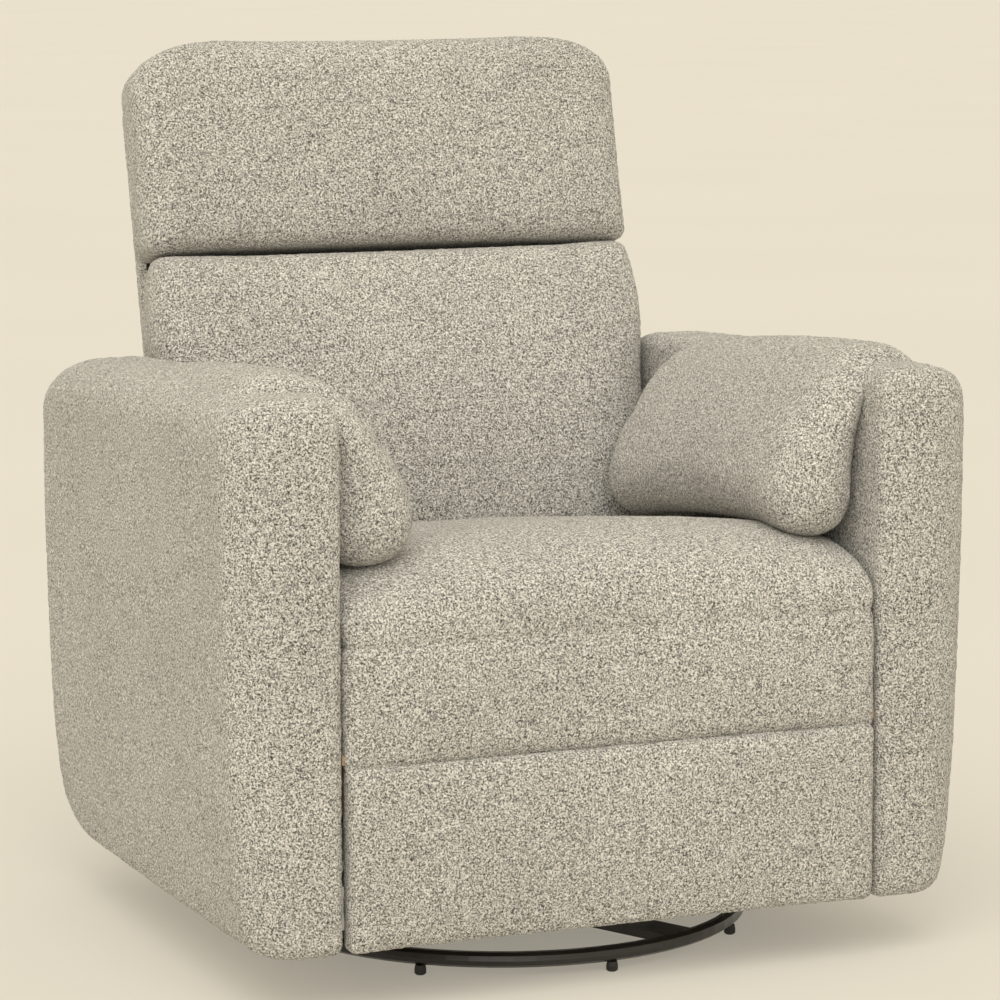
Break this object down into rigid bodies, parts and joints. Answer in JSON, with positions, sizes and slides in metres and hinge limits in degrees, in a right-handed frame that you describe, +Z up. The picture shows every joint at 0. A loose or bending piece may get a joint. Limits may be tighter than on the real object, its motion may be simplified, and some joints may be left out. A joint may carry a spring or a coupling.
{
  "type": "swivel glider recliner",
  "caption": "Upholstered nursery chair that glides, swivels on a round tubular base, reclines and raises a footrest.",
  "frame": {"origin": "on the floor, under the middle of the whole chair", "axes": "+Z up, the sitter faces -Y, +X is the sitter's left"},
  "size_m": [0.91, 0.917, 1.0501],
  "materials": {
    "arm_board_left": "raw plywood",
    "arm_board_right": "raw plywood",
    "arm_left": "nubby boucle weave",
    "arm_pillow_left": "nubby boucle weave",
    "arm_pillow_right": "nubby boucle weave",
    "arm_right": "nubby boucle weave",
    "back_cover": "nubby boucle weave",
    "back_rail_bottom": "raw plywood",
    "back_rail_top": "raw plywood",
    "back_side_member_left": "dark grey powder coat",
    "back_side_member_right": "dark grey powder coat",
    "back_spring_1": "zinc plated",
    "back_spring_2": "zinc plated",
    "base_cross_bars": "satin black",
    "carriage_cross_bar_front": "dark grey powder coat",
    "carriage_cross_bar_rear": "dark grey powder coat",
    "footrest_board": "raw plywood",
    "footrest_bracket_bar": "zinc plated",
    "footrest_guide_link_left": "zinc plated",
    "footrest_guide_link_right": "zinc plated",
    "footrest_pad": "nubby boucle weave",
    "footrest_shank_link_left": "zinc plated",
    "footrest_shank_link_right": "zinc plated",
    "footrest_thigh_link_left": "zinc plated",
    "footrest_thigh_link_right": "zinc plated",
    "glide_foot_1": "matt black",
    "glide_foot_2": "matt black",
    "glide_foot_3": "matt black",
    "glide_foot_4": "matt black",
    "glide_foot_5": "matt black",
    "glide_foot_6": "matt black",
    "glide_foot_7": "matt black",
    "glide_foot_8": "matt black",
    "glide_link_front_left": "zinc plated",
    "glide_link_front_right": "zinc plated",
    "glide_link_rear_left": "zinc plated",
    "glide_link_rear_right": "zinc plated",
    "glide_rail_left": "dark grey powder coat",
    "glide_rail_right": "dark grey powder coat",
    "headrest_cushion": "nubby boucle weave",
    "lumbar_cushion": "nubby boucle weave",
    "mechanism_plate_left": "dark grey powder coat",
    "mechanism_plate_right": "dark grey powder coat",
    "platform_beam_front": "dark grey powder coat",
    "platform_beam_rear": "dark grey powder coat",
    "platform_side_plate_left": "dark grey powder coat",
    "platform_side_plate_right": "dark grey powder coat",
    "rear_valance": "nubby boucle weave",
    "release_pull_tab": "black webbing",
    "ring_base": "satin black",
    "seat_cushion": "nubby boucle weave",
    "seat_deck_frame": "raw plywood",
    "seat_side_rail_left": "raw plywood",
    "seat_side_rail_right": "raw plywood",
    "seat_spring_1": "zinc plated",
    "seat_spring_2": "zinc plated",
    "seat_spring_3": "zinc plated",
    "swivel_bearing_race": "zinc plated",
    "swivel_spindle_plate": "dark grey powder coat",
    "swivel_upper_plate": "dark grey powder coat"
  },
  "bodies": {
    "seat_carriage": {"arm_board_left": "arm_board_left", "arm_board_right": "arm_board_right", "arm_left": "arm_left", "arm_pillow_left": "arm_pillow_left", "arm_pillow_right": "arm_pillow_right", "arm_right": "arm_right", "carriage_cross_bar_front": "carriage_cross_bar_front", "carriage_cross_bar_rear": "carriage_cross_bar_rear", "glide_rail_left": "glide_rail_left", "glide_rail_right": "glide_rail_right", "mechanism_plate_left": "mechanism_plate_left", "mechanism_plate_right": "mechanism_plate_right", "rear_valance": "rear_valance", "seat_cushion": "seat_cushion", "seat_deck_frame": "seat_deck_frame", "seat_side_rail_left": "seat_side_rail_left", "seat_side_rail_right": "seat_side_rail_right", "seat_spring_1": "seat_spring_1", "seat_spring_2": "seat_spring_2", "seat_spring_3": "seat_spring_3"},
    "backrest": {"back_cover": "back_cover", "back_rail_bottom": "back_rail_bottom", "back_rail_top": "back_rail_top", "back_side_member_left": "back_side_member_left", "back_side_member_right": "back_side_member_right", "back_spring_1": "back_spring_1", "back_spring_2": "back_spring_2", "headrest_cushion": "headrest_cushion", "lumbar_cushion": "lumbar_cushion"},
    "base": {"base_cross_bars": "base_cross_bars", "glide_foot_1": "glide_foot_1", "glide_foot_2": "glide_foot_2", "glide_foot_3": "glide_foot_3", "glide_foot_4": "glide_foot_4", "glide_foot_5": "glide_foot_5", "glide_foot_6": "glide_foot_6", "glide_foot_7": "glide_foot_7", "glide_foot_8": "glide_foot_8", "ring_base": "ring_base", "swivel_bearing_race": "swivel_bearing_race", "swivel_spindle_plate": "swivel_spindle_plate"},
    "footrest_panel": {"footrest_board": "footrest_board", "footrest_bracket_bar": "footrest_bracket_bar", "footrest_pad": "footrest_pad"},
    "footrest_guide_links": {"footrest_guide_link_left": "footrest_guide_link_left", "footrest_guide_link_right": "footrest_guide_link_right"},
    "footrest_shanks": {"footrest_shank_link_left": "footrest_shank_link_left", "footrest_shank_link_right": "footrest_shank_link_right"},
    "footrest_thigh_links": {"footrest_thigh_link_left": "footrest_thigh_link_left", "footrest_thigh_link_right": "footrest_thigh_link_right"},
    "front_glide_links": {"glide_link_front_left": "glide_link_front_left", "glide_link_front_right": "glide_link_front_right"},
    "rear_glide_links": {"glide_link_rear_left": "glide_link_rear_left", "glide_link_rear_right": "glide_link_rear_right"},
    "swivel_platform": {"platform_beam_front": "platform_beam_front", "platform_beam_rear": "platform_beam_rear", "platform_side_plate_left": "platform_side_plate_left", "platform_side_plate_right": "platform_side_plate_right", "swivel_upper_plate": "swivel_upper_plate"},
    "release_tab": {"release_pull_tab": "release_pull_tab"}
  },
  "joints": [
    {"name": "swivel", "type": "hinge", "parent": "base", "child": "swivel_platform", "pos_m": [0, -0.1065, 0.04], "axis": [0, 0, 1], "continuous": true},
    {"name": "glide", "type": "hinge", "parent": "swivel_platform", "child": "front_glide_links", "pos_m": [0, -0.1925, 0.25], "axis": [-1, 0, 0], "range_deg": [-14, 14]},
    {"name": "glide_carriage", "type": "hinge", "parent": "front_glide_links", "child": "seat_carriage", "pos_m": [0, -0.1925, 0.11], "axis": [-1, 0, 0], "range_deg": [-15, 15]},
    {"name": "glide_rear_links", "type": "hinge", "parent": "swivel_platform", "child": "rear_glide_links", "pos_m": [0, -0.0205, 0.25], "axis": [-1, 0, 0], "range_deg": [-15, 15]},
    {"name": "recline", "type": "hinge", "parent": "seat_carriage", "child": "backrest", "pos_m": [0, 0.1785, 0.34], "axis": [-1, 0, 0], "range_deg": [0, 38]},
    {"name": "footrest", "type": "hinge", "parent": "seat_carriage", "child": "footrest_thigh_links", "pos_m": [0, -0.2885, 0.243], "axis": [-1, 0, 0], "range_deg": [0, 90]},
    {"name": "footrest_shank_hinge", "type": "hinge", "parent": "footrest_thigh_links", "child": "footrest_shanks", "pos_m": [0, -0.2885, 0.093], "axis": [-1, 0, 0], "range_deg": [-91, 1]},
    {"name": "footrest_panel_hinge", "type": "hinge", "parent": "footrest_shanks", "child": "footrest_panel", "pos_m": [0, -0.4065, 0.235], "axis": [-1, 0, 0], "range_deg": [-1, 91]},
    {"name": "footrest_guide_hinge", "type": "hinge", "parent": "seat_carriage", "child": "footrest_guide_links", "pos_m": [0, -0.31092, 0.26998], "axis": [-1, 0, 0], "range_deg": [-1, 91]},
    {"name": "release_pull", "type": "slide", "parent": "seat_carriage", "child": "release_tab", "axis": [0, 0, 1], "range_m": [0, 0.018], "stiffness_N_per_m": 300, "springref_m": -0.002}
  ],
  "couplings": [
    {"joint": "glide_carriage", "follows": "glide", "ratio": -1},
    {"joint": "glide_rear_links", "follows": "glide", "ratio": 1},
    {"joint": "footrest_shank_hinge", "follows": "footrest", "ratio": -1},
    {"joint": "footrest_panel_hinge", "follows": "footrest", "ratio": 1},
    {"joint": "footrest_guide_hinge", "follows": "footrest", "ratio": 1}
  ]
}
